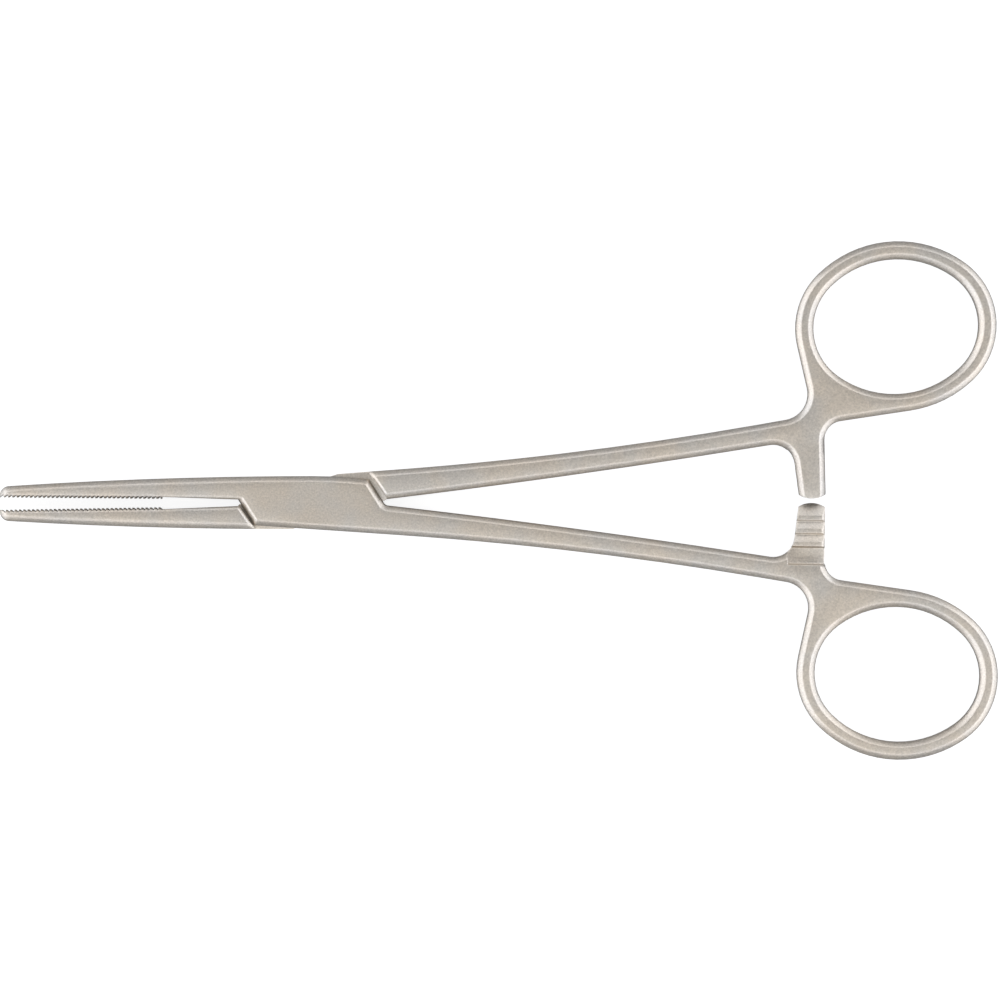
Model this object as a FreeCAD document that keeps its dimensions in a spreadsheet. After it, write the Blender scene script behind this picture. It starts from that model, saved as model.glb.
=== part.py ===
import FreeCAD, Part
import math
import os
import Sketcher
from FreeCAD import Vector

# Box-lock haemostatic forceps, straight, with cross serrations and a three-barb ratchet.
# Frame: the forceps lies flat, tips toward -X, finger rings toward +X, origin on the lock axis
# at the plane that it rests on. Each half is drawn in its closed pose about its own mid-plane,
# jaw on the +Y side, and is then opened, turned over and lifted by its placement.

os.makedirs("parts", exist_ok=True)
doc = FreeCAD.newDocument("Forceps")

# Sizes in millimetres and degrees

SIZES = (
    # Jaws
    ("tip_reach", 50.0, "lock axis to the tip"),
    ("tip_width", 1.74, "width of one jaw at the tip"),
    ("tip_gap", 0.01, "jaw face to the centre line at the tip"),
    ("tip_round", 1.5, "corner of the tip seen from above"),
    ("jaw_bow", 0.42, "how far the jaw's back bows out from a straight line"),
    ("jaw_bevel", 0.45, "bevel along the gripping edge"),
    ("tip_thick", 2.7, "jaw thickness at the tip"),
    ("jaw_root", 13.6, "lock axis to where the jaw starts to thin"),
    ("serration_pitch", 0.7, "one cross serration to the next"),
    ("serration_depth", 0.5, "depth of a serration"),
    ("serration_lean", 0.25, "lean of a serration toward the lock"),
    ("serration_land", 0.06, "flat crest between serrations"),
    ("serration_count", 37, "serrations on each jaw"),
    ("serration_start", 0.35, "tip to the first serration's middle"),
    ("relief_depth", 0.51, "set-back of the jaw behind the serrations"),
    ("relief_end_depth", 0.29, "set-back of the jaw where it meets the lock"),
    # Lock
    ("lock_half_width", 4.23, "half width of the lock at its axis"),
    ("lock_rear_half", 3.85, "half width of the box at its rear corner"),
    ("lock_thick", 5.1, "thickness of the lock"),
    ("wall_reach", 11.6, "lock axis to where a wall end crosses the centre line"),
    ("wall_angle", 57.0, "slant of the wall ends"),
    ("front_gap", 0.12, "front shoulder to the box when closed"),
    ("rear_gap", 0.6, "rear shoulder to the box when closed"),
    ("shoulder_bevel", 0.5, "bevel of the tongue's shoulders"),
    ("tongue_thick", 2.3, "thickness of the tongue"),
    ("slot_clearance", 0.05, "play of the tongue at each face"),
    ("tongue_edge", 3.11, "lock axis to the side of the tongue"),
    ("tongue_slant", 16.2, "slant of the tongue's sides"),
    ("slot_mouth", 3.0, "lock axis to the slot's end at the edge of the box"),
    ("rivet_radius", 1.5, "radius of the rivet"),
    ("rivet_clearance", 0.03, "radial play of the rivet in the tongue"),
    ("rivet_head", 0.35, "how much the headed ends widen"),
    ("rivet_sink", 0.5, "depth of the headed ends"),
    # Shanks
    ("root_x", 14.1, "lock axis to the root of the shank"),
    ("root_outer", 4.99, "outer edge of the shank at its root"),
    ("root_inner", 0.47, "inner edge of the shank at its root"),
    ("shank_end", 72.0, "lock axis to the end of the shank's curve"),
    ("shank_outer", 10.87, "outer edge of the shank at its end"),
    ("shank_inner", 7.29, "inner edge of the shank at its end"),
    ("outer_bow", 0.72, "bow of the shank's outer edge"),
    ("inner_bow", 0.29, "bow of the shank's inner edge"),
    ("shank_thick", 3.6, "thickness of the shanks and rings"),
    ("swell_length", 26.0, "length over which the lock thins into the shank"),
    ("edge_bevel", 0.9, "bevel of the long edges"),
    ("crotch_round", 0.8, "corner between lock and shank"),
    # Finger rings
    ("ring_x", 94.2, "lock axis to the ring's middle, along the forceps"),
    ("ring_y", 26.03, "centre line to the ring's middle"),
    ("ring_long", 13.26, "half of the finger hole's length"),
    ("ring_short", 10.8, "half of the finger hole's width"),
    ("ring_end_round", 9.4, "rounding of the finger hole's ends"),
    ("ring_band", 2.85, "width of the ring's band"),
    ("ring_tilt", 3.0, "tilt of the ring"),
    ("neck_x", 80.65, "lock axis to the corner of the ring's neck"),
    ("neck_round", 4.2, "corner between shank and ring"),
    # Ratchet
    ("arm_left", 78.0, "near side of the ratchet arm at its tip"),
    ("arm_right", 82.3, "far side of the ratchet arm"),
    ("arm_root", 77.07, "near side of the arm at the shank"),
    ("arm_heel_y", 10.75, "centre line to the arm's far root"),
    ("arm_reach", 0.57, "how far the arm's corners pass the centre line"),
    ("arm_bulge", 0.65, "rounding of the arm's end"),
    ("arm_near_round", 3.4, "corner between shank and arm"),
    ("arm_far_round", 3.0, "corner between arm and ring"),
    ("barb_play", 0.06, "crest of the barbs to the mid-plane"),
    ("barb_depth", 0.64, "depth of the notches between barbs"),
    ("barb_pitch", 2.12, "one barb to the next"),
    ("barb_first", 1.46, "centre line to the back of the first barb"),
    ("barb_land", 0.6, "flat crest of a barb"),
    ("barb_back", 0.3, "lean of a barb's steep face"),
    ("barb_count", 3, "barbs on each arm"),
    ("barb_bevel", 0.45, "bevel of the barbs on the far side of the arm"),
    ("lead_in", 0.9, "drop of the arm's tip below the crests"),
    ("recess_y", 8.55, "centre line to the end of the arm's recess"),
    ("recess_lean", 0.5, "run-out of the recess"),
    ("recess_near", 76.3, "lock axis to the near end of the arm's recess"),
    # Pose
    ("rest_angle", 1.12, "turn of each half from closed as it lies"),
)

sheet = doc.addObject("Spreadsheet::Sheet", "Sizes")
for row, (alias, number, meaning) in enumerate(SIZES, start=1):
    sheet.set(f"A{row}", meaning)
    sheet.set(f"B{row}", str(number))
    sheet.setAlias(f"B{row}", alias)
doc.recompute()


class Term:
    """A size, or a sum of sizes, with the expression that binds it to the sheet."""

    def __init__(self, value, text):
        self.value = value
        self.text = text

    def __add__(self, other):
        other = term(other)
        return Term(self.value + other.value, f"({self.text} + {other.text})")

    def __sub__(self, other):
        other = term(other)
        return Term(self.value - other.value, f"({self.text} - {other.text})")

    def __mul__(self, other):
        other = term(other)
        return Term(self.value * other.value, f"({self.text} * {other.text})")

    def __truediv__(self, other):
        other = term(other)
        return Term(self.value / other.value, f"({self.text} / {other.text})")

    def __radd__(self, other):
        return term(other) + self

    def __rsub__(self, other):
        return term(other) - self

    def __rmul__(self, other):
        return term(other) * self

    def __neg__(self):
        return Term(-self.value, f"(0 - {self.text})")


def term(number):
    return number if isinstance(number, Term) else Term(float(number), repr(number))


def sine(angle):
    return Term(math.sin(math.radians(angle.value)), f"sin({angle.text})")


def cosine(angle):
    return Term(math.cos(math.radians(angle.value)), f"cos({angle.text})")


def tangent(angle):
    return Term(math.tan(math.radians(angle.value)), f"tan({angle.text})")


def root(number):
    return Term(math.sqrt(number.value), f"sqrt({number.text})")


def bind(thing, name, number):
    """Set a property and tie it to the sheet."""
    setattr(thing, name, number.value)
    thing.setExpression(name, number.text)


class Named:
    """Every size of the sheet by its alias."""


s = Named()
for alias, number, meaning in SIZES:
    setattr(s, alias, Term(float(number), f"Sizes.{alias}"))

worked = doc.addObject("App::VarSet", "Worked")


def keep(name, number):
    """A worked-out value that several sketches share, kept once in the document."""
    worked.addProperty("App::PropertyFloat", name)
    bind(worked, name, number)
    return Term(number.value, f"Worked.{name}")


def keep_point(name, pair):
    return (keep(name + "_along", pair[0]), keep(name + "_across", pair[1]))


HALF = 0.5
STRAIGHT = 180.0
SQUARE = 90.0
BEYOND = 6.0  # how far cutting outlines run past the metal
PAST_WALL = 2.0  # how far the slot's outline runs past the ends of the walls
NEARBY = 0.4  # farthest that an edge may lie from the corner it is looked up by
STRAY = 1e-4  # farthest that an upright edge may lean
LEAST_CUT = 1e-6  # smallest volume that counts as a cut
STEEP = 0.2  # a wall's normal leans less than this to Z
LEVEL = 0.8  # a flat side's normal leans more than this to Z


# Drawing helpers

def plane_of(body, role):
    return [item for item in body.Origin.OriginFeatures if item.Role == role][0]


def new_sketch(body, name, role, lift=None):
    """A sketch on one of a body's own planes, or lifted off it."""
    sketch = body.newObject("Sketcher::SketchObject", name)
    sketch.AttachmentSupport = [(plane_of(body, role), "")]
    sketch.MapMode = "FlatFace"
    if lift is not None:
        sketch.AttachmentOffset = FreeCAD.Placement(Vector(0, 0, lift.value), FreeCAD.Rotation())
        sketch.setExpression("AttachmentOffset.Base.z", lift.text)
    return sketch


def hold(sketch, geometry, end, x, y):
    """Pin one point of a sketch to bound coordinates."""
    for kind, number in (("DistanceX", x), ("DistanceY", y)):
        index = sketch.addConstraint(Sketcher.Constraint(kind, -1, 1, geometry, end, number.value))
        sketch.setExpression(f"Constraints[{index}]", number.text)


def point(pair):
    return Vector(pair[0].value, pair[1].value, 0)


def outline(body, name, role, corners, bows=None, lift=None):
    """A closed outline through corners; bows gives the middle point of each curved side."""
    bows = bows or {}
    sketch = new_sketch(body, name, role, lift)
    count = len(corners)
    ends = []
    for side in range(count):
        first = point(corners[side])
        last = point(corners[(side + 1) % count])
        if side in bows:
            middle = point(bows[side])
            index = sketch.addGeometry(Part.Arc(first, middle, last), False)
            swapped = (sketch.getPoint(index, 1) - first).Length > (sketch.getPoint(index, 2) - first).Length
        else:
            index = sketch.addGeometry(Part.LineSegment(first, last), False)
            swapped = False
        ends.append((index, (2, 1) if swapped else (1, 2)))
    for side in range(count):
        index, (start, stop) = ends[side]
        following, (next_start, next_stop) = ends[(side + 1) % count]
        sketch.addConstraint(Sketcher.Constraint("Coincident", index, stop, following, next_start))
        hold(sketch, index, start, *corners[side])
    for side, pair in bows.items():
        guide = sketch.addGeometry(Part.Point(point(pair)), True)
        hold(sketch, guide, 1, *pair)
        sketch.addConstraint(Sketcher.Constraint("PointOnObject", guide, 1, ends[side][0]))
    return sketch


def ringed(spot):
    """A point given along and across the ring, on the drawing."""
    along, athwart = spot
    return (ring[0] + along * cosine(s.ring_tilt) + athwart * sine(s.ring_tilt),
            ring[1] - along * sine(s.ring_tilt) + athwart * cosine(s.ring_tilt))


def oval(body, name, spread):
    """The finger hole's four tangent arcs, or the ring's outer edge that far outside them."""
    joint = (end_middle + (s.ring_end_round + spread) * end_middle / round_gap,
             (s.ring_end_round + spread) * side_middle / round_gap)
    long_half = s.ring_long + spread
    short_half = s.ring_short + spread
    flat = spread * 0
    corners = [(joint[0], joint[1]), (-joint[0], joint[1]), (-joint[0], -joint[1]), (joint[0], -joint[1])]
    crowns = [(flat, short_half), (-long_half, flat), (flat, -short_half), (long_half, flat)]
    return outline(body, name, "XY_Plane", [ringed(spot) for spot in corners],
                   {side: ringed(spot) for side, spot in enumerate(crowns)})


def pad(body, name, sketch, length):
    feature = body.newObject("PartDesign::Pad", name)
    feature.Profile = sketch
    feature.SideType = "Symmetric"
    bind(feature, "Length", length)
    doc.recompute()
    return feature


def pocket(body, name, sketch, length=None, side="Symmetric", upward=False):
    """Cut a sketch about its plane or to one side, to a length or right through."""
    before = body.Shape.Volume
    feature = body.newObject("PartDesign::Pocket", name)
    feature.Profile = sketch
    feature.SideType = side
    feature.Reversed = upward
    if length is None:
        feature.Type = "ThroughAll"
    else:
        bind(feature, "Length", length)
    doc.recompute()
    if body.Shape.Volume > before - LEAST_CUT:
        raise RuntimeError(name + " removed nothing")
    return feature


def repeat(body, name, feature, sketch, axis, count, pitch, backward=False):
    """A row of copies of one cut along an axis of its sketch."""
    before = body.Shape.Volume
    row = body.newObject("PartDesign::LinearPattern", name)
    row.Originals = [feature]
    row.Direction = (sketch, [axis])
    row.Reversed = backward
    row.Mode = "Spacing"
    row.Occurrences = int(count.value)
    row.setExpression("Occurrences", count.text)
    bind(row, "Offset", pitch)
    body.Tip = row
    doc.recompute()
    if body.Shape.Volume > before - LEAST_CUT:
        raise RuntimeError(name + " removed nothing")
    return row


def mid_of(edge):
    return edge.valueAt((edge.FirstParameter + edge.LastParameter) / 2)


def names_of(shape, wanted):
    """The edges that a test accepts, by their names in the shape."""
    return [f"Edge{number}" for number, edge in enumerate(shape.Edges, start=1) if wanted(edge)]


def is_upright(edge):
    ends = [vertex.Point for vertex in edge.Vertexes]
    return len(ends) == 2 and (ends[0] - ends[1]).cross(Vector(0, 0, 1)).Length < STRAY


def near(edge, pair):
    middle = mid_of(edge)
    return math.hypot(middle.x - pair[0].value, middle.y - pair[1].value) < NEARBY


def tilt_of(face, edge):
    """How far a face's normal leans to Z at the middle of one of its edges."""
    u, v = face.Surface.parameter(mid_of(edge))
    return abs(face.normalAt(u, v).z)


def is_rim(shape, edge):
    """True for an edge between a flat side and an upright wall."""
    faces = shape.ancestorsOfType(edge, Part.Face)
    if len(faces) != 2:
        return False
    leans = sorted(tilt_of(face, edge) for face in faces)
    return leans[0] < STEEP and leans[1] > LEVEL


def dress(body, kind, name, edges, size_name, size):
    """A fillet or chamfer of named edges, tied to the sheet."""
    base = body.Tip
    feature = body.newObject("PartDesign::" + kind, name)
    feature.Base = (base, edges)
    bind(feature, size_name, size)
    doc.recompute()
    if "Invalid" in feature.State or "Error" in feature.State:
        raise RuntimeError(name + " failed: " + str(feature.State))
    return feature


# One forging, common to both halves

wall_run = tangent(s.wall_angle)
half_lock = s.lock_thick * HALF
half_shank = s.shank_thick * HALF
half_tip = s.tip_thick * HALF
serration_end = s.tip_reach - s.serration_start - (s.serration_count - HALF) * s.serration_pitch
ring = (s.ring_x, -s.ring_y)
end_middle = keep("ring_end_middle", s.ring_long - s.ring_end_round)
side_round = keep("ring_side_round", (end_middle * end_middle + s.ring_short * s.ring_short
                                      - s.ring_end_round * s.ring_end_round)
                  / ((s.ring_short - s.ring_end_round) * 2))
side_middle = side_round - s.ring_short
round_gap = side_round - s.ring_end_round


def touch_point(corner, turn):
    """Where a straight edge from a corner meets the ring's outer edge without a kink."""
    dx = corner[0] - ring[0]
    dy = corner[1] - ring[1]
    along = dx * cosine(s.ring_tilt) - dy * sine(s.ring_tilt)
    athwart = dx * sine(s.ring_tilt) + dy * cosine(s.ring_tilt)
    flat = s.ring_x * 0
    end_reach = s.ring_end_round + s.ring_band
    side_reach = side_round + s.ring_band
    arcs = ((-end_middle, flat, end_reach), (flat, -side_middle, side_reach),
            (flat, side_middle, side_reach), (end_middle, flat, end_reach))
    for middle_along, middle_athwart, reach in arcs:
        u = along - middle_along
        v = athwart - middle_athwart
        square = u * u + v * v
        straight = root(square - reach * reach) * turn
        out_along = (reach * u - straight * v) / square
        out_athwart = (reach * v + straight * u) / square
        lean = side_middle.value * abs(out_along.value) - end_middle.value * abs(out_athwart.value)
        on_end = middle_along.value * out_along.value > 0 and lean > 0
        on_side = middle_athwart.value * out_athwart.value < 0 and lean <= 0
        if on_end or on_side:
            return ringed((middle_along + reach * out_along, middle_athwart + reach * out_athwart))
    raise RuntimeError("an edge of the neck misses the ring")


def across(first, last):
    return (last[0] - first[0], last[1] - first[1])


def length_squared(run):
    return run[0] * run[0] + run[1] * run[1]


def slope_leaving(start, middle, end):
    """Slope at its start of the arc through three points."""
    near_run = across(start, middle)
    far_run = across(start, end)
    near_square = length_squared(near_run)
    far_square = length_squared(far_run)
    run = near_run[0] / near_square - far_run[0] / far_square
    return (near_run[1] / near_square - far_run[1] / far_square) / run


def middle_leaving(start, slope, end):
    """Middle of the arc that leaves its start along a slope and meets its end."""
    run = across(start, end)
    size = root(length_squared(run))
    lean = root(slope * slope + 1)
    turn = (run[0] * slope - run[1]) / (size * lean + run[0] + run[1] * slope)
    return ((start[0] + end[0] - run[1] * turn) * HALF, (start[1] + end[1] + run[0] * turn) * HALF)


def between(first, last, rise):
    """The middle of a curved side, lifted by its bow."""
    return ((first[0] + last[0]) * HALF, (first[1] + last[1]) * HALF + rise)


root_outer = (s.root_x, -s.root_outer)
root_inner = (s.root_x, -s.root_inner)
shank_outer = (s.shank_end, -s.shank_outer)
shank_inner = (s.shank_end, -s.shank_inner)
outer_middle = between(root_outer, shank_outer, s.outer_bow)
inner_middle = between(root_inner, shank_inner, s.inner_bow)
outer_slope = keep("outer_slope", slope_leaving(root_outer, outer_middle, shank_outer))
inner_slope = keep("inner_slope", slope_leaving(root_inner, inner_middle, shank_inner))
outer_end_slope = keep("outer_end_slope", slope_leaving(shank_outer, outer_middle, root_outer))
inner_end_slope = keep("inner_end_slope", slope_leaving(shank_inner, inner_middle, root_inner))


def on_wall_end(side, height, slope):
    """Where a wall end meets a line of some slope that crosses the root's station at a height."""
    y = (height + slope * (side * s.wall_reach - s.root_x)) / (slope / wall_run + 1)
    return (side * s.wall_reach - y / wall_run, y)


lock_top = (s.root_x * 0, s.lock_half_width)
tip_back = (-s.tip_reach, s.tip_width)
jaw_middle = between(lock_top, tip_back, s.jaw_bow)
rear_side = (s.wall_reach - s.lock_rear_half / wall_run, s.lock_rear_half)
neck_rise = outer_end_slope * (s.neck_x - s.shank_end)
arm_rise = inner_end_slope * (s.arm_root - s.shank_end)
arm_spare = s.arm_bulge + s.edge_bevel * 2
arm_end = s.arm_reach + arm_spare
arm_length = s.arm_reach + s.shank_inner - arm_rise
corners = {
    "tip": (-s.tip_reach, s.tip_gap),
    "front": (-s.wall_reach - s.relief_end_depth / wall_run, s.relief_end_depth),
    "front_side": on_wall_end(-1, -s.root_outer, outer_slope),
    "root_outer": root_outer,
    "shank_outer": shank_outer,
    "neck": (s.neck_x, neck_rise - s.shank_outer),
    "heel": (s.arm_right, -s.arm_heel_y),
    "arm_far": (s.arm_right, arm_end),
    "arm_near": (s.arm_left + (s.arm_left - s.arm_root) * arm_spare / arm_length, arm_end),
    "arm_root": (s.arm_root, arm_rise - s.shank_inner),
    "shank_inner": shank_inner,
    "root_inner": root_inner,
    "crotch": on_wall_end(1, -s.root_inner, inner_slope),
    "rear_side": rear_side,
    "lock_top": lock_top,
    "tip_back": tip_back,
    "ring": ring,
}
corners["neck_touch"] = keep_point("neck_touch", touch_point(corners["neck"], 1))
corners["heel_touch"] = keep_point("heel_touch", touch_point(corners["heel"], -1))
top_slope = keep("top_slope", slope_leaving(lock_top, jaw_middle, tip_back))
rear_middle = keep_point("rear_middle", middle_leaving(lock_top, top_slope, rear_side))
ORDER = ("tip", "front", "front_side", "root_outer", "shank_outer", "neck", "neck_touch", "ring",
         "heel_touch", "heel", "arm_far", "arm_near", "arm_root", "shank_inner", "root_inner",
         "crotch", "rear_side", "lock_top", "tip_back")
BOWS = {
    "root_outer": outer_middle,
    "shank_inner": inner_middle,
    "rear_side": rear_middle,
    "lock_top": jaw_middle,
}


def side_profile(body):
    """The metal above and below the forging, seen from the side, as one cutting sketch each."""
    front = -s.jaw_root
    drop = half_lock - half_tip
    run = s.tip_reach - s.jaw_root
    half_run = run * HALF
    bend = (run * run + drop * drop) / (drop * 2)
    sag = bend - root(bend * bend - half_run * half_run)
    step = s.swell_length * HALF
    half_step = step * HALF
    half_fall = (half_lock - half_shank) * HALF
    sweep = (step * step + half_fall * half_fall) / (half_fall * 2)
    dip = sweep - root(sweep * sweep - half_step * half_step)
    halfway = s.root_x + step
    far = s.ring_x + s.ring_long + s.ring_band + BEYOND
    tip = -s.tip_reach - BEYOND
    slope_tip = drop * 2 / run
    for sign, name in ((1, "Upper"), (-1, "Lower")):
        places = (
            (tip, half_tip - BEYOND * slope_tip),
            (-s.tip_reach, half_tip),
            (front, half_lock),
            (s.root_x, half_lock),
            (halfway, half_lock - half_fall),
            (s.root_x + s.swell_length, half_shank),
            (far, half_shank),
            (far, half_lock + BEYOND),
            (tip, half_lock + BEYOND),
        )
        bows = {
            1: ((front - s.tip_reach) * HALF, half_lock - sag),
            3: (s.root_x + half_step, half_lock - dip),
            4: (halfway + half_step, half_shank + dip),
        }
        if sign < 0:
            places = tuple((x, -z) for x, z in places)
            bows = {side: (x, -z) for side, (x, z) in bows.items()}
        sketch = outline(body, name + "SideProfile", "XZ_Plane", places, bows)
        pocket(body, name + "Side", sketch)


def forging(body):
    """Jaw, lock, shank, arm and ring as one blank with bevelled edges."""
    names = list(ORDER)
    sketch = outline(body, "Outline", "XY_Plane", [corners[name] for name in names],
                     {names.index(name): pair for name, pair in BOWS.items()})
    pad(body, "Blank", sketch, s.lock_thick)
    pad(body, "RingDisc", oval(body, "RingOutline", s.ring_band), s.lock_thick)
    pocket(body, "FingerHole", oval(body, "HoleOutline", s.ring_band * 0))
    side_profile(body)
    rounds = (("NeckRound", "neck", s.neck_round), ("HeelRound", "heel", s.arm_far_round),
              ("ArmRound", "arm_root", s.arm_near_round), ("TipRound", "tip_back", s.tip_round),
              ("CrotchRound", "crotch", s.crotch_round))
    for name, corner, size in rounds:
        edges = names_of(body.Shape, lambda edge: is_upright(edge) and near(edge, corners[corner]))
        dress(body, "Fillet", name, edges, "Radius", size)
    grip_end = corners["front"]

    def on_grip(edge):
        middle = mid_of(edge)
        return middle.x < grip_end[0].value and middle.y < grip_end[1].value

    long_rims = names_of(body.Shape, lambda edge: is_rim(body.Shape, edge) and not on_grip(edge))
    dress(body, "Chamfer", "LongEdges", long_rims, "Size", s.edge_bevel)
    grip_rims = names_of(body.Shape, lambda edge: is_rim(body.Shape, edge) and on_grip(edge))
    dress(body, "Chamfer", "GripBevel", grip_rims, "Size", s.jaw_bevel)
    trim = (
        (s.arm_right, s.arm_reach),
        (s.arm_left, s.arm_reach),
        (s.arm_left - BEYOND, s.arm_reach),
        (s.arm_left - BEYOND, arm_end + BEYOND),
        (s.arm_right + BEYOND, arm_end + BEYOND),
        (s.arm_right + BEYOND, s.arm_reach),
    )
    bulge = {0: between(trim[0], trim[1], s.arm_bulge)}
    pocket(body, "ArmTrim", outline(body, "ArmTrimOutline", "XY_Plane", trim, bulge))


def ratchet(body):
    """The recess of the arm and its barbs, on the upper side of the arm."""
    middle = (s.recess_near + s.arm_right) * HALF + BEYOND * HALF
    width = s.arm_right - s.recess_near + BEYOND
    crest = -s.barb_play
    floor = crest - s.barb_depth
    first = -s.barb_first
    last = first - (s.barb_count - 1) * s.barb_pitch
    lead = first + s.barb_land
    end = s.arm_reach + s.arm_bulge
    drop = s.lead_in / (end - lead)
    far = end + BEYOND * HALF
    top = half_lock + BEYOND * HALF
    places = (
        (far, crest - drop * (far - lead)),
        (lead, crest),
        (last, crest),
        (last - s.barb_back, floor),
        (-s.recess_y, floor),
        (-s.recess_y - s.recess_lean, top),
        (far, top),
    )
    pocket(body, "ArmRecess", outline(body, "RecessProfile", "YZ_Plane", places, lift=middle), width)
    notch = (
        (first, crest + s.barb_depth),
        (first, crest),
        (first - s.barb_back, floor),
        (first - s.barb_pitch + s.barb_land, crest),
        (first - s.barb_pitch + s.barb_land, crest + s.barb_depth),
    )
    sketch = outline(body, "NotchProfile", "YZ_Plane", notch, lift=middle)
    cut = pocket(body, "Notch", sketch, width)
    repeat(body, "Notches", cut, sketch, "H_Axis", s.barb_count - 1, s.barb_pitch, True)
    bevel = (
        (s.arm_right - s.barb_bevel, crest),
        (s.arm_right + BEYOND, crest - s.barb_bevel - BEYOND),
        (s.arm_right + BEYOND, crest),
    )
    sketch = outline(body, "BarbBevelProfile", "XZ_Plane", bevel, lift=(end + last) * -HALF)
    pocket(body, "BarbBevel", sketch, end - last)


def grip(body, shift):
    """The set-back behind the grip, and the cross serrations."""
    tip = corners["tip"]
    front = corners["front"]
    rise = keep(body.Name + "_rise", (front[1] - tip[1]) / (front[0] - tip[0]))
    end = -serration_end
    relief = (
        (end, -s.relief_depth),
        (end, s.relief_depth),
        front,
        (front[0], -s.relief_depth),
    )
    pocket(body, "Relief", outline(body, "ReliefOutline", "XY_Plane", relief))
    middle = s.serration_start + shift - s.tip_reach
    face = tip[1] + rise * (s.serration_start + shift)
    half_width = (s.serration_pitch - s.serration_land) * HALF
    mouth = s.serration_depth * HALF
    widen = (s.serration_depth + mouth) / s.serration_depth
    apex = middle + s.serration_lean
    notch = (
        (apex - (half_width + s.serration_lean) * widen, face - mouth),
        (apex, face + s.serration_depth),
        (apex + (half_width - s.serration_lean) * widen, face - mouth),
    )
    sketch = outline(body, "SerrationOutline", "XY_Plane", notch)
    guide = sketch.addGeometry(Part.LineSegment(point(tip), point(front)), True)
    hold(sketch, guide, 1, *tip)
    hold(sketch, guide, 2, *front)
    cut = pocket(body, "Serration", sketch)
    repeat(body, "Serrations", cut, sketch, "Axis0", s.serration_count, s.serration_pitch)


rivet_wide = s.rivet_radius + s.rivet_head
rivet_axis = s.rivet_radius * 0
rivet_past = half_lock + BEYOND
rivet_section = (
    (rivet_axis, -half_lock),
    (rivet_wide, -half_lock),
    (s.rivet_radius, s.rivet_sink - half_lock),
    (s.rivet_radius, half_lock - s.rivet_sink),
    (rivet_wide, half_lock),
    (rivet_axis, half_lock),
)
rivet_hole_section = (
    (rivet_axis, -rivet_past),
    (rivet_wide, -rivet_past),
) + rivet_section[1:-1] + (
    (rivet_wide, rivet_past),
    (rivet_axis, rivet_past),
)


# Box half: the blank, slotted right through for the tongue

box_half = doc.addObject("PartDesign::Body", "box_half")
forging(box_half)
mouth_top = (-s.slot_mouth, s.lock_half_width)
past_top = (mouth_top[0] + (mouth_top[0] - corners["front"][0]) * HALF,
            mouth_top[1] + (mouth_top[1] - corners["front"][1]) * HALF)
clear_side = s.wall_reach + PAST_WALL
slot = (
    corners["front"],
    past_top,
    (clear_side, past_top[1]),
    (-corners["front"][0], -corners["front"][1]),
    (-past_top[0], -past_top[1]),
    (-clear_side, -past_top[1]),
)
pocket(box_half, "Slot", outline(box_half, "SlotOutline", "XY_Plane", slot),
       s.tongue_thick + 2 * s.slot_clearance)
hole = box_half.newObject("PartDesign::Groove", "RivetHole")
hole.Profile = outline(box_half, "RivetHoleSection", "XZ_Plane", rivet_hole_section)
hole.ReferenceAxis = (hole.Profile[0], ["V_Axis"])
doc.recompute()
ratchet(box_half)
grip(box_half, s.serration_pitch * 0)

# Tongue half: the same blank, thinned between its shoulders and trimmed to swing in the slot

tongue_half = doc.addObject("PartDesign::Body", "tongue_half")
forging(tongue_half)
front_step = s.wall_reach * sine(s.wall_angle) + s.front_gap
rear_step = s.wall_reach * sine(s.wall_angle) + s.rear_gap
front_line = front_step / sine(s.wall_angle)
rear_line = rear_step / sine(s.wall_angle)
tall = s.lock_half_width * 2
lean = tall / wall_run
shoulders = (
    (lean - front_line, tall),
    (lean + rear_line, tall),
    (rear_line - lean, -tall),
    (-front_line - lean, -tall),
)
half_tongue = s.tongue_thick * HALF
for name, lift, upward in (("Upper", half_tongue, True), ("Lower", -half_tongue, False)):
    sketch = outline(tongue_half, name + "ShoulderOutline", "XY_Plane", shoulders, lift=lift)
    pocket(tongue_half, name + "Shoulders", sketch, None, "One side", upward)
shoulder_turn = SQUARE - s.wall_angle
for name, side in (("Upper", 1), ("Lower", -1)):
    bevel = (
        (-front_step, side * (half_lock - s.shoulder_bevel)),
        (-front_step - s.shoulder_bevel * 2, side * (half_lock + s.shoulder_bevel)),
        (rear_step + s.shoulder_bevel * 2, side * (half_lock + s.shoulder_bevel)),
        (rear_step, side * (half_lock - s.shoulder_bevel)),
    )
    sketch = outline(tongue_half, name + "BevelProfile", "XZ_Plane", bevel)
    turn = FreeCAD.Rotation(Vector(0, -1, 0), shoulder_turn.value)
    sketch.AttachmentOffset = FreeCAD.Placement(Vector(0, 0, 0), turn)
    sketch.setExpression("AttachmentOffset.Rotation.Angle", shoulder_turn.text)
    pocket(tongue_half, name + "ShoulderBevel", sketch)
edge_height = s.tongue_edge / cosine(s.tongue_slant)
edge_run = tangent(s.tongue_slant)
edge_start = edge_height / edge_run
edge_end = s.slot_mouth * 2
for name, side in (("Front", -1), ("Rear", 1)):
    trim = (
        (side * clear_side, s.root_x * 0),
        (side * edge_start, s.root_x * 0),
        (-side * edge_end, side * (edge_height + edge_run * edge_end)),
        (-side * edge_end, side * tall),
        (side * clear_side, side * tall),
    )
    pocket(tongue_half, name + "Trim", outline(tongue_half, name + "TrimOutline", "XY_Plane", trim))
pin_hole = new_sketch(tongue_half, "PinHoleOutline", "XY_Plane")
pin_hole.addGeometry(Part.Circle(Vector(0, 0, 0), Vector(0, 0, 1), s.rivet_radius.value), False)
pin_hole.addConstraint(Sketcher.Constraint("Coincident", 0, 3, -1, 1))
bore = s.rivet_radius + s.rivet_clearance
pin_hole.addConstraint(Sketcher.Constraint("Radius", 0, bore.value))
pin_hole.setExpression("Constraints[1]", bore.text)
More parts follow.
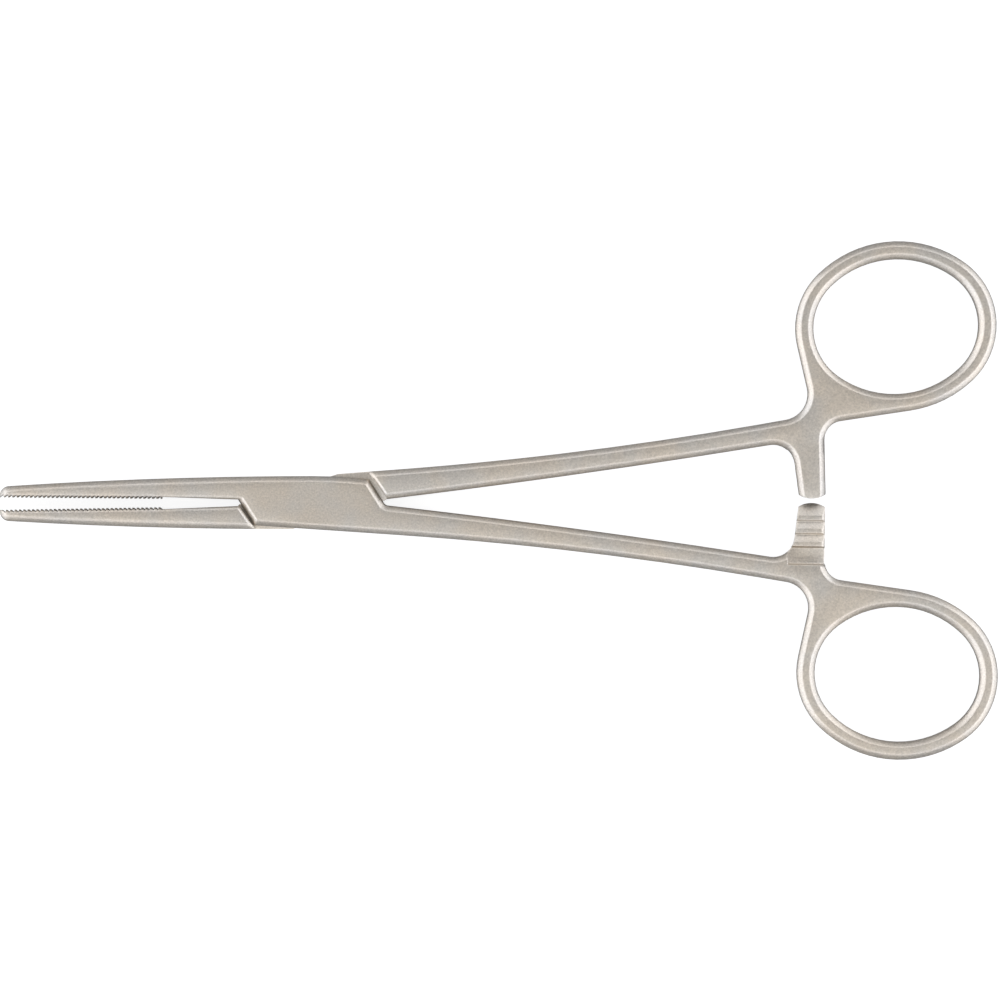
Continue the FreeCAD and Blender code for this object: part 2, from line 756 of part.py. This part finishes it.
pocket(tongue_half, "PinHole", pin_hole)
ratchet(tongue_half)
grip(tongue_half, s.serration_pitch * HALF)

# Rivet

pivot_pin = doc.addObject("PartDesign::Body", "pivot_pin")
turned = pivot_pin.newObject("PartDesign::Revolution", "Rivet")
turned.Profile = outline(pivot_pin, "RivetSection", "XZ_Plane", rivet_section)
turned.ReferenceAxis = (turned.Profile[0], ["V_Axis"])
doc.recompute()

# Placing: the halves are opened by the rest angle, and the tongue half is turned over

def place(body, axis, angle):
    """Lift a body off the resting plane and turn it, tied to the sheet."""
    x, y, z = axis
    turn = FreeCAD.Rotation(Vector(x.value, y.value, z.value), angle.value)
    body.Placement = FreeCAD.Placement(Vector(0, 0, half_lock.value), turn)
    body.setExpression("Placement.Base.z", half_lock.text)
    body.setExpression("Placement.Rotation.Angle", angle.text)
    for name, number in (("x", x), ("y", y), ("z", z)):
        body.setExpression("Placement.Rotation.Axis." + name, number.text)


flat = s.rest_angle * 0
upright = flat + 1
place(box_half, (flat, flat, upright), -s.rest_angle)
place(pivot_pin, (flat, flat, upright), -s.rest_angle)
half_turn = s.rest_angle * HALF
place(tongue_half, (cosine(half_turn), sine(half_turn), flat), flat + STRAIGHT)
doc.recompute()

# Check everything, then write one file for each piece

for item in doc.Objects:
    if "Invalid" in item.State or "Error" in item.State:
        raise RuntimeError(item.Name + " failed: " + str(item.State))
pieces = (box_half, tongue_half, pivot_pin)
for body in pieces:
    if body.Shape.isNull() or not body.Shape.isValid() or len(body.Shape.Solids) != 1:
        raise RuntimeError(body.Label + " is not one sound solid")
for body in pieces:
    body.Shape.exportStep("parts/" + body.Label + ".step")
    box = body.Shape.BoundBox
    print(body.Label, round(body.Shape.Volume, 2), "mm3, x", round(box.XMin, 2), round(box.XMax, 2),
          "y", round(box.YMin, 2), round(box.YMax, 2), "z", round(box.ZMin, 3), round(box.ZMax, 3))
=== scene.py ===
import math

import bmesh
import bpy
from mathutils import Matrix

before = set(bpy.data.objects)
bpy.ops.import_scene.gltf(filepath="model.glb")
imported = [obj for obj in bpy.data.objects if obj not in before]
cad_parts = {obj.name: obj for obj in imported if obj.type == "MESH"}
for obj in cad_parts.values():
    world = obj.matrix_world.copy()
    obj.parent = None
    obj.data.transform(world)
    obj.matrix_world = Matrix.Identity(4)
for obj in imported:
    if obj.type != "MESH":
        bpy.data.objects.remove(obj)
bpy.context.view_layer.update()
print("frame loaded:", ", ".join(sorted(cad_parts)))

millimetre = 0.001
white = (1, 1, 1, 1)


def linear(hexColour):
    # sRGB hex to the linear colour that the shader takes
    values = [int(hexColour[i:i + 2], 16) / 255 for i in (1, 3, 5)]
    turned = [v / 12.92 if v <= 0.04045 else ((v + 0.055) / 1.055) ** 2.4 for v in values]
    return (*turned, 1.0)


def perMetre(size):
    # texture scale that makes one feature as large as size, in mm
    return 1 / (size * millimetre)


def addNode(tree, kind, settings=None, inputs=None):
    # a node with its settings; an input is either a plain value or another node's socket
    node = tree.nodes.new(kind)
    for name, value in (settings or {}).items():
        setattr(node, name, value)
    for name, value in (inputs or {}).items():
        if isinstance(value, bpy.types.NodeSocket):
            tree.links.new(value, node.inputs[name])
        else:
            node.inputs[name].default_value = value
    return node


def newMaterial(name):
    material = bpy.data.materials.new(name)
    material.use_nodes = True
    material.node_tree.nodes.clear()
    return material, material.node_tree


def seenRay(tree, inSteel):
    # 1 for what the eye meets directly or through glass, inSteel for what the steel mirrors, else 0
    path = addNode(tree, "ShaderNodeLightPath")
    mirrored = addNode(tree, "ShaderNodeMath", {"operation": "MULTIPLY"}, {
        0: path.outputs["Is Glossy Ray"], 1: inSteel})
    direct = addNode(tree, "ShaderNodeMath", {"operation": "MAXIMUM"}, {
        0: path.outputs["Is Camera Ray"], 1: path.outputs["Is Transmission Ray"]})
    return addNode(tree, "ShaderNodeMath", {"operation": "MAXIMUM"}, {
        0: direct.outputs[0], 1: mirrored.outputs[0]}).outputs[0]


# straight above the forceps, far off behind a long lens
camera = {
    "centreX": 30.14,        # mm right of the rivet, the middle of the picture
    "centreY": 0.30,         # mm
    "pictureWidth": 160.3,   # mm across the picture at the height of the finger rings' middle
    "levelZ": 2.55,          # mm, that height
    "lens": 200.0,           # mm
    "sensor": 36.0,          # mm
    "roll": -0.2,            # degrees, the rings sit a touch high in the picture
}


def makeCamera():
    lens = bpy.data.cameras.new("long_lens")
    lens.lens = camera["lens"]
    lens.sensor_width = camera["sensor"]
    distance = camera["pictureWidth"] * camera["lens"] / camera["sensor"]
    eye = bpy.data.objects.new("camera_above", lens)
    eye.location = (
        camera["centreX"] * millimetre,
        camera["centreY"] * millimetre,
        (camera["levelZ"] + distance) * millimetre)
    eye.rotation_euler = (0, 0, math.radians(camera["roll"]))
    bpy.context.scene.collection.objects.link(eye)
    bpy.context.scene.camera = eye
    print("camera set")


room = {
    "skyLight": 0.72,        # what the sky gives to dull surfaces
    "skySeen": 1.0,          # what the eye and the steel see of it
}


def makeWorld():
    world = bpy.data.worlds.new("white_room")
    bpy.context.scene.world = world
    world.use_nodes = True
    tree = world.node_tree
    tree.nodes.clear()
    soft = addNode(tree, "ShaderNodeBackground", inputs={"Color": white, "Strength": room["skyLight"]})
    plain = addNode(tree, "ShaderNodeBackground", inputs={"Color": white, "Strength": room["skySeen"]})
    mixed = addNode(tree, "ShaderNodeMixShader", inputs={
        0: seenRay(tree, 1.0), 1: soft.outputs["Background"], 2: plain.outputs["Background"]})
    addNode(tree, "ShaderNodeOutputWorld", inputs={"Surface": mixed.outputs["Shader"]})
    print("white room made")


# a matt white table top, fibrous board with a thin coat of paint, with no gloss at all
table = {
    "size": 3.0,             # m
    "colour": "#979796",
    "glow": 0.86,            # white that is laid over the table's own colour for the eye
    "glowInSteel": 0.05,     # share of that white in the steel, small so that its edges end dark
    "fibreSize": 2.5,        # mm
    "fibreDepth": 0.1,       # mm
    "fibreStrength": 0.05,
}


def makeFloor():
    material, tree = newMaterial("matt_white_table")
    place = addNode(tree, "ShaderNodeTexCoord").outputs["Object"]
    fibre = addNode(tree, "ShaderNodeTexNoise", inputs={
        "Vector": place, "Scale": perMetre(table["fibreSize"])})
    fibreBump = addNode(tree, "ShaderNodeBump", inputs={
        "Height": fibre.outputs["Fac"], "Strength": table["fibreStrength"],
        "Distance": table["fibreDepth"] * millimetre})
    dull = addNode(tree, "ShaderNodeBsdfDiffuse", inputs={
        "Color": linear(table["colour"]), "Normal": fibreBump.outputs["Normal"]})
    glow = addNode(tree, "ShaderNodeMath", {"operation": "MULTIPLY"}, {
        0: seenRay(tree, table["glowInSteel"]), 1: table["glow"]})
    coat = addNode(tree, "ShaderNodeEmission", inputs={"Color": white, "Strength": glow.outputs[0]})
    both = addNode(tree, "ShaderNodeAddShader", inputs={
        0: dull.outputs["BSDF"], 1: coat.outputs["Emission"]})
    addNode(tree, "ShaderNodeOutputMaterial", inputs={"Surface": both.outputs["Shader"]})

    mesh = bpy.data.meshes.new("table_top")
    shape = bmesh.new()
    bmesh.ops.create_grid(shape, x_segments=1, y_segments=1, size=table["size"] / 2)
    shape.to_mesh(mesh)
    shape.free()
    mesh.materials.append(material)
    floor = bpy.data.objects.new("table_top", mesh)
    bpy.context.scene.collection.objects.link(floor)
    print("floor made")


# two strong soft boxes at the tips and the rings, two weak ones before and behind
softBoxes = {
    "long": 1.60,            # m
    "tall": 0.80,            # m
    "away": 0.70,            # m from the middle of the picture
    "endHigh": 0.34,         # m above the table, at the tips and the rings
    "endPower": 4.7,         # W
    "sideHigh": 0.62,        # m, before and behind
    "beforePower": 2.1,      # W
    "behindPower": 1.4,      # W
    "colour": "#E6EEFF",
}


def makeSoftBoxes():
    middle = camera["centreX"] * millimetre
    boxes = (
        ("soft_box_left", -1, 0, "endHigh", "endPower"),
        ("soft_box_right", 1, 0, "endHigh", "endPower"),
        ("soft_box_before", 0, -1, "sideHigh", "beforePower"),
        ("soft_box_behind", 0, 1, "sideHigh", "behindPower"),
    )
    away = softBoxes["away"]
    for name, alongX, alongY, high, power in boxes:
        lamp = bpy.data.lights.new(name, "AREA")
        lamp.shape = "RECTANGLE"
        lamp.size = softBoxes["long"] if alongX == 0 else softBoxes["tall"]
        lamp.size_y = softBoxes["tall"] if alongX == 0 else softBoxes["long"]
        lamp.energy = softBoxes[power]
        lamp.color = linear(softBoxes["colour"])[:3]
        box = bpy.data.objects.new(name, lamp)
        box.location = (middle + alongX * away, alongY * away, softBoxes[high])
        rise = math.atan2(away, softBoxes[high])
        box.rotation_euler = (-alongY * rise, alongX * rise, 0)
        bpy.context.scene.collection.objects.link(box)
    print("soft boxes placed")


# grey cards that only the steel mirrors: one hangs above, two stand on the table before and behind
cards = {
    "colour": "#B6B3AF",
    "aboveWide": 1.6,        # m
    "aboveHigh": 1.10,       # m over the table
    "aboveNear": 0.05,       # m behind the rivet, its near edge
    "aboveFar": 0.50,        # m, its far edge
    "lowWide": 0.9,          # m
    "lowTall": 0.27,         # m
    "lowAway": 0.65,         # m from the rivet
}


def makeCards():
    material, tree = newMaterial("grey_card")
    dull = addNode(tree, "ShaderNodeBsdfDiffuse", inputs={"Color": linear(cards["colour"])})
    addNode(tree, "ShaderNodeOutputMaterial", inputs={"Surface": dull.outputs["BSDF"]})
    high, away, tall = cards["aboveHigh"], cards["lowAway"], cards["lowTall"]
    places = (
        ("card_above", cards["aboveWide"], (cards["aboveNear"], high), (cards["aboveFar"], high)),
        ("card_before", cards["lowWide"], (-away, 0.0), (-away, tall)),
        ("card_behind", cards["lowWide"], (away, 0.0), (away, tall)),
    )
    for name, wide, (nearY, nearZ), (farY, farZ) in places:
        left = camera["centreX"] * millimetre - wide / 2
        right = left + wide
        mesh = bpy.data.meshes.new(name)
        shape = bmesh.new()
        shape.faces.new([shape.verts.new(corner) for corner in (
            (left, nearY, nearZ), (right, nearY, nearZ), (right, farY, farZ), (left, farY, farZ))])
        shape.to_mesh(mesh)
        shape.free()
        mesh.materials.append(material)
        card = bpy.data.objects.new(name, mesh)
        bpy.context.scene.collection.objects.link(card)
        card.visible_camera = False
        card.visible_diffuse = False
        card.visible_shadow = False
    print("cards placed")


# stainless steel, ground on a belt, tumbled and bead blasted: a soft, even, slightly warm grey with
# no mirror in it, bright along the rolled-over bevels and faintly mottled on the flats
# painted shade darkens the steel's colour in the gaps at the lock
steel = {
    "colour": "#DDD2C3",
    "coolColour": "#D6D0C7",
    "roughness": 0.36,
    "roughnessSpread": 0.07,
    "gritSize": 0.30,        # mm, blasted grit, real grit is 0.1 and too fine to show
    "gritDetail": 4.0,
    "gritRoughness": 0.7,
    "gritDepth": 0.020,      # mm
    "gritStrength": 0.7,
    "pitRange": (0.3, 0.7),  # of the grit's height, from pit to crest
    "pitTint": 0.32,         # how much darker the pits are
    "cloudSize": 7.0,        # mm, soft patches where the blast lay thicker
    "cloudDetail": 3.0,
    "cloudRange": (0.35, 0.65),
    "brushSpacing": 0.35,    # mm between the faint lines of the belt that ran across
    "brushReach": 6.0,       # mm, how long one such line is
    "brushDetail": 2.0,
    "brushStrength": 0.10,
    "flatFrom": (0.85, 0.95),  # upward share of a face's direction, from bevel to flat
    "bevelRoundness": 0.85,  # mm, how far the tumbling in grit has rounded the bevels
    "flatSoftness": 0.22,    # mm, the flats keep a clear edge against them
    "barbSoftness": 0.30,    # mm, the same on the barbs
    "gripSoftness": 0.55,    # mm, and on the serrations
    "crownReach": 3.0,       # mm, how far in from its edges a flat is crowned by the belt
    "crownShare": 0.23,      # how much of that crown the flats show
    "rollOver": 0.24,        # how far a bevel is rolled over towards the flat beside it
    "edgeSamples": 8,
    "rivetGround": 2.56,     # mm round the rivet that is ground flush, with no soft edge
    "rivetFlush": 3.2,       # mm, where the soft edges are back
    "rivetBlend": 6.0,       # mm, where the crown is back in full
    "creviceReach": 1.0,     # mm, how wide a gap at the lock may be and still get painted shade
    "creviceRange": (0.15, 0.5),  # open share of the view from a point, from full painted shade to none
    "creviceShade": 0.35,    # what is left of the colour deep in a gap under the painted shade
}

# boxes of the steel, each axis from, to and the fade outside them, in mm
zones = {
    "grips": (("X", -52.0, -13.0, 0.8), ("Y", -1.7, 1.7, 0.4)),
    "barbs": (("X", 77.0, 83.0, 0.8), ("Y", -10.0, 0.9, 0.3)),
    "jaws": (("X", -52.0, -20.0, 8.0),),
    # the lock's box, where painted shade darkens the colour in the gaps
    "lock": (("X", -15.0, 15.0, 0.8), ("Z", 1.0, 4.1, 0.1)),
}


def inZone(tree, spot, zone):
    # 1 inside the box, falling to 0 over the fade outside it
    inside = 1.0
    for axis, low, high, fade in zones[zone]:
        for outer, inner in ((low - fade, low), (high + fade, high)):
            edge = addNode(tree, "ShaderNodeMapRange", inputs={
                "Value": spot.outputs[axis],
                "From Min": outer * millimetre, "From Max": inner * millimetre})
            inside = addNode(tree, "ShaderNodeMath", {"operation": "MULTIPLY"}, {
                0: edge.outputs["Result"], 1: inside}).outputs[0]
    return inside


def roundedNormal(tree, place, spot):
    # the direction of the surface once the edges are softened, the flats crowned and the bevels rolled
    facing = addNode(tree, "ShaderNodeSeparateXYZ", inputs={
        "Vector": addNode(tree, "ShaderNodeNewGeometry").outputs["True Normal"]})
    level = addNode(tree, "ShaderNodeMath", {"operation": "ABSOLUTE"}, {0: facing.outputs["Z"]})
    bevelLevel, flatLevel = steel["flatFrom"]
    onFlat = addNode(tree, "ShaderNodeMapRange", inputs={
        "Value": level.outputs[0], "From Min": bevelLevel, "From Max": flatLevel})

    # how far round a point the edges are softened: far on bevels and jaws, little elsewhere
    flatReach = addNode(tree, "ShaderNodeMapRange", inputs={
        "Value": inZone(tree, spot, "jaws"), "To Min": steel["flatSoftness"] * millimetre,
        "To Max": steel["bevelRoundness"] * millimetre})
    broad = addNode(tree, "ShaderNodeMix", {"data_type": "FLOAT"}, {
        "Factor": onFlat.outputs["Result"], "A": steel["bevelRoundness"] * millimetre,
        "B": flatReach.outputs["Result"]})
    nearGrips = addNode(tree, "ShaderNodeMix", {"data_type": "FLOAT"}, {
        "Factor": inZone(tree, spot, "grips"), "A": broad.outputs["Result"],
        "B": steel["gripSoftness"] * millimetre})
    nearBarbs = addNode(tree, "ShaderNodeMix", {"data_type": "FLOAT"}, {
        "Factor": inZone(tree, spot, "barbs"), "A": nearGrips.outputs["Result"],
        "B": steel["barbSoftness"] * millimetre})

    # nothing round the rivet, so that its seam stays unseen
    onPlan = addNode(tree, "ShaderNodeVectorMath", {"operation": "MULTIPLY"}, {
        0: place, 1: (1.0, 1.0, 0.0)})
    fromRivet = addNode(tree, "ShaderNodeVectorMath", {"operation": "LENGTH"}, {
        0: onPlan.outputs["Vector"]}).outputs["Value"]
    softAgain = addNode(tree, "ShaderNodeMapRange", inputs={
        "Value": fromRivet, "From Min": steel["rivetGround"] * millimetre,
        "From Max": steel["rivetFlush"] * millimetre})
    crownAgain = addNode(tree, "ShaderNodeMapRange", inputs={
        "Value": fromRivet, "From Min": steel["rivetFlush"] * millimetre,
        "From Max": steel["rivetBlend"] * millimetre, "To Max": steel["crownShare"]})
    reach = addNode(tree, "ShaderNodeMath", {"operation": "MULTIPLY"}, {
        0: nearBarbs.outputs["Result"], 1: softAgain.outputs["Result"]})

    softEdge = addNode(tree, "ShaderNodeBevel", {"samples": steel["edgeSamples"]}, {
        "Radius": reach.outputs[0]})
    crown = addNode(tree, "ShaderNodeBevel", {"samples": steel["edgeSamples"]}, {
        "Radius": steel["crownReach"] * millimetre})
    crowned = addNode(tree, "ShaderNodeMix", {"data_type": "VECTOR"}, {
        "Factor": crownAgain.outputs["Result"],
        "A": softEdge.outputs["Normal"], "B": crown.outputs["Normal"]})
    lift = addNode(tree, "ShaderNodeMath", {"operation": "MULTIPLY"}, {
        0: facing.outputs["Z"], 1: steel["rollOver"]})
    upright = addNode(tree, "ShaderNodeCombineXYZ", inputs={"Z": lift.outputs[0]})
    rolled = addNode(tree, "ShaderNodeVectorMath", {"operation": "ADD"}, {
        0: crowned.outputs["Result"], 1: upright.outputs["Vector"]})
    return addNode(tree, "ShaderNodeVectorMath", {"operation": "NORMALIZE"}, {
        0: rolled.outputs["Vector"]}).outputs["Vector"]


def makeSteel():
    material, tree = newMaterial("bead_blasted_stainless_steel")
    place = addNode(tree, "ShaderNodeTexCoord").outputs["Object"]
    spot = addNode(tree, "ShaderNodeSeparateXYZ", inputs={"Vector": place})

    grit = addNode(tree, "ShaderNodeTexNoise", inputs={
        "Vector": place, "Scale": perMetre(steel["gritSize"]), "Detail": steel["gritDetail"],
        "Roughness": steel["gritRoughness"]}).outputs["Fac"]
    gritBump = addNode(tree, "ShaderNodeBump", inputs={
        "Height": grit, "Strength": steel["gritStrength"],
        "Distance": steel["gritDepth"] * millimetre, "Normal": roundedNormal(tree, place, spot)})

    # faint lines of the belt, long along Y and close together along X
    across, along = perMetre(steel["brushSpacing"]), perMetre(steel["brushReach"])
    lay = addNode(tree, "ShaderNodeMapping", inputs={
        "Vector": place, "Scale": (across, along, along)})
    brush = addNode(tree, "ShaderNodeTexNoise", inputs={
        "Vector": lay.outputs["Vector"], "Scale": 1.0, "Detail": steel["brushDetail"]})
    brushBump = addNode(tree, "ShaderNodeBump", inputs={
        "Height": brush.outputs["Fac"], "Strength": steel["brushStrength"],
        "Distance": steel["gritDepth"] * millimetre, "Normal": gritBump.outputs["Normal"]})

    dull = addNode(tree, "ShaderNodeMapRange", inputs={
        "Value": grit, "To Min": steel["roughness"] - steel["roughnessSpread"],
        "To Max": steel["roughness"] + steel["roughnessSpread"]})

    # warm and cool patches, darker pits, and painted shade in the gaps at the lock, darker where
    # ambient occlusion finds the view closed in
    clouds = addNode(tree, "ShaderNodeTexNoise", inputs={
        "Vector": place, "Scale": perMetre(steel["cloudSize"]), "Detail": steel["cloudDetail"]})
    warmest, coolest = steel["cloudRange"]
    patches = addNode(tree, "ShaderNodeMapRange", inputs={
        "Value": clouds.outputs["Fac"], "From Min": warmest, "From Max": coolest})
    tint = addNode(tree, "ShaderNodeMix", {"data_type": "RGBA"}, {
        "Factor": patches.outputs["Result"],
        "A": linear(steel["colour"]), "B": linear(steel["coolColour"])})
    pit, crest = steel["pitRange"]
    pits = addNode(tree, "ShaderNodeMapRange", inputs={
        "Value": grit, "From Min": pit, "From Max": crest, "To Min": 1.0 - steel["pitTint"]})
    pitted = addNode(tree, "ShaderNodeMix", {"data_type": "RGBA", "blend_type": "MULTIPLY"}, {
        "Factor": 1.0, "A": tint.outputs["Result"], "B": pits.outputs["Result"]})
    # painted shade: ambient occlusion darkens the colour in the lock's gaps
    unhidden = addNode(tree, "ShaderNodeAmbientOcclusion", {"samples": steel["edgeSamples"]}, {
        "Distance": steel["creviceReach"] * millimetre})
    darkest, plain = steel["creviceRange"]
    paintedShade = addNode(tree, "ShaderNodeMapRange", inputs={
        "Value": unhidden.outputs["AO"], "From Min": darkest, "From Max": plain,
        "To Min": steel["creviceShade"]})
    paintedShadeApplied = addNode(tree, "ShaderNodeMix", {"data_type": "RGBA", "blend_type": "MULTIPLY"}, {
        "Factor": inZone(tree, spot, "lock"),
        "A": pitted.outputs["Result"], "B": paintedShade.outputs["Result"]})

    shader = addNode(tree, "ShaderNodeBsdfPrincipled", inputs={
        "Base Color": paintedShadeApplied.outputs["Result"], "Metallic": 1.0,
        "Roughness": dull.outputs["Result"], "Normal": brushBump.outputs["Normal"]})
    addNode(tree, "ShaderNodeOutputMaterial", inputs={"Surface": shader.outputs["BSDF"]})
    return material


def finishSteel():
    material = makeSteel()
    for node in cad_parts.values():
        for slot in node.material_slots:
            slot.material = material
    print("steel finished")


bpy.context.scene.view_settings.view_transform = "Standard"
makeCamera()
makeWorld()
makeFloor()
makeSoftBoxes()
makeCards()
finishSteel()
